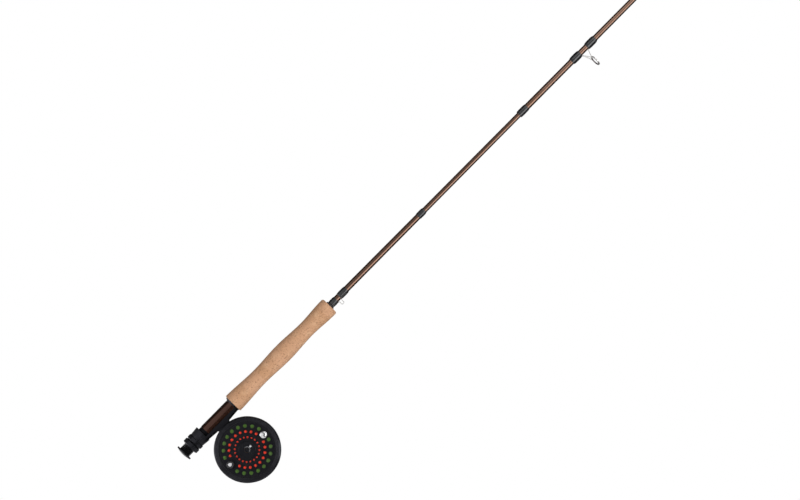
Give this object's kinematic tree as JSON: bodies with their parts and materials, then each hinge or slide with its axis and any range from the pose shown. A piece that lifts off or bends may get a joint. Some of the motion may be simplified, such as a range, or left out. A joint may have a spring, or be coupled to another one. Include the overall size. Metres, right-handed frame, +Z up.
{
  "type": "fly rod and reel",
  "caption": "Sectional fly rod with a cork grip, screw-locking reel seat and wire line guides, fitted with a drilled click-pawl fly reel wound with line.",
  "frame": {"origin": "on the rod's axis at the rear rim of the butt cap", "axes": "+X along the rod towards its tip, +Z up, the reel hangs towards -Z with its handle on the -Y side"},
  "size_m": [2.4371, 0.0534, 0.1095],
  "materials": {
    "black_aluminium": "satin black anodised",
    "seat_insert": "brown, glossy",
    "cork": "bare sanded cork",
    "blank": "gloss copper brown over carbon fibre",
    "thread": "black thread under gloss epoxy",
    "dark_ring": "black anodised",
    "wire": "drawn wire, chrome plated",
    "eye_ring": "polished ceramic",
    "steel": "machined",
    "bright": "polished",
    "bronze": "turned",
    "arbor": "foam",
    "knob": "satin black",
    "backing": "braided cord",
    "fly_line": "smooth coated line"
  },
  "bodies": {
    "rod_butt": {"butt_cap": "black_aluminium", "threaded_barrel": "black_aluminium", "seat_insert": "seat_insert", "seat_arbors": "arbor", "fixed_hood": "black_aluminium", "cork_grip": "cork", "winding_check": "dark_ring", "butt_sleeve": "blank", "butt_blank": "blank", "keeper_wraps": "thread", "trim_wrap": "thread", "hook_keeper": "wire", "reel_foot": "black_aluminium", "foot_screws": "steel", "foot_bridge": "black_aluminium", "frame_back_plate": "black_aluminium", "frame_front_ring": "black_aluminium", "frame_pillars": "black_aluminium", "frame_screws": "steel", "spindle": "steel", "spindle_nut": "steel", "click_posts": "steel", "click_spring": "steel"},
    "hood": {"sliding_hood": "black_aluminium"},
    "lock_nut": {"lock_nut": "black_aluminium"},
    "jam_nut": {"jam_nut": "black_aluminium"},
    "section_2": {"section_2_blank": "blank", "section_2_wraps": "thread", "stripping_guide_frame": "wire", "stripping_guide_ring": "eye_ring", "section_2_snake_guide": "wire"},
    "section_3": {"section_3_blank": "blank", "section_3_wraps": "thread", "section_3_snake_guides": "wire"},
    "tip": {"tip_blank": "blank", "tip_wraps": "thread", "tip_snake_guides": "wire", "tip_top": "wire"},
    "spool": {"spool_face": "black_aluminium", "spool_arbor": "black_aluminium", "spool_back": "black_aluminium", "spool_bushes": "bronze", "click_gear": "steel", "hub_cap": "black_aluminium", "hub_screws": "steel", "counterweight": "bright", "handle_pin": "bright", "backing": "backing", "fly_line_core": "fly_line", "fly_line_winding": "fly_line", "latch_spring": "steel"},
    "latch": {"spool_latch": "steel"},
    "handle": {"handle_knob": "knob"},
    "pawl_left": {"pawl_left": "steel"},
    "pawl_right": {"pawl_right": "steel"},
    "drag": {"drag_knob": "knob", "drag_cam": "steel"}
  },
  "joints": [
    {"name": "hood_slide", "type": "slide", "parent": "rod_butt", "child": "hood", "axis": [1, 0, 0], "range_m": [-0.0085, 0]},
    {"name": "lock_nut_turn", "type": "hinge", "parent": "hood", "child": "lock_nut", "pos_m": [0.0204, 0, 0], "axis": [1, 0, 0], "range_deg": [-1531, 0]},
    {"name": "jam_nut_turn", "type": "hinge", "parent": "hood", "child": "jam_nut", "pos_m": [0.0138, 0, 0], "axis": [1, 0, 0], "range_deg": [-1531, 0]},
    {"name": "ferrule_1_slide", "type": "slide", "parent": "rod_butt", "child": "section_2", "axis": [1, 0, 0], "range_m": [0, 0.055]},
    {"name": "ferrule_2_slide", "type": "slide", "parent": "section_2", "child": "section_3", "axis": [1, 0, 0], "range_m": [0, 0.047]},
    {"name": "ferrule_3_slide", "type": "slide", "parent": "section_3", "child": "tip", "axis": [1, 0, 0], "range_m": [0, 0.039]},
    {"name": "spool_spin", "type": "hinge", "parent": "rod_butt", "child": "spool", "pos_m": [0.0602, 0, -0.05435], "axis": [0, 1, 0], "continuous": true},
    {"name": "handle_spin", "type": "hinge", "parent": "spool", "child": "handle", "pos_m": [0.03243, 0, -0.05314], "axis": [0, 1, 0], "continuous": true},
    {"name": "latch_push", "type": "slide", "parent": "spool", "child": "latch", "axis": [1, 0, 0], "range_m": [0, 0.0012], "stiffness_N_per_m": 300, "deforming": ["latch_spring"]},
    {"name": "pawl_left_rock", "type": "hinge", "parent": "rod_butt", "child": "pawl_left", "pos_m": [0.0508, 0, -0.06729], "axis": [0, 1, 0], "range_deg": [-20, 20], "stiffness_Nm_per_rad": 0.01},
    {"name": "pawl_right_rock", "type": "hinge", "parent": "rod_butt", "child": "pawl_right", "pos_m": [0.0696, 0, -0.06729], "axis": [0, 1, 0], "range_deg": [-20, 20], "stiffness_Nm_per_rad": 0.01},
    {"name": "drag_knob_turn", "type": "hinge", "parent": "rod_butt", "child": "drag", "pos_m": [0.0602, 0, -0.08295], "axis": [0, 1, 0], "range_deg": [0, 180]}
  ],
  "couplings": [
    {"joint": "lock_nut_turn", "follows": "hood_slide", "rad_per_m": 3141.6},
    {"joint": "jam_nut_turn", "follows": "hood_slide", "rad_per_m": 3141.6}
  ]
}
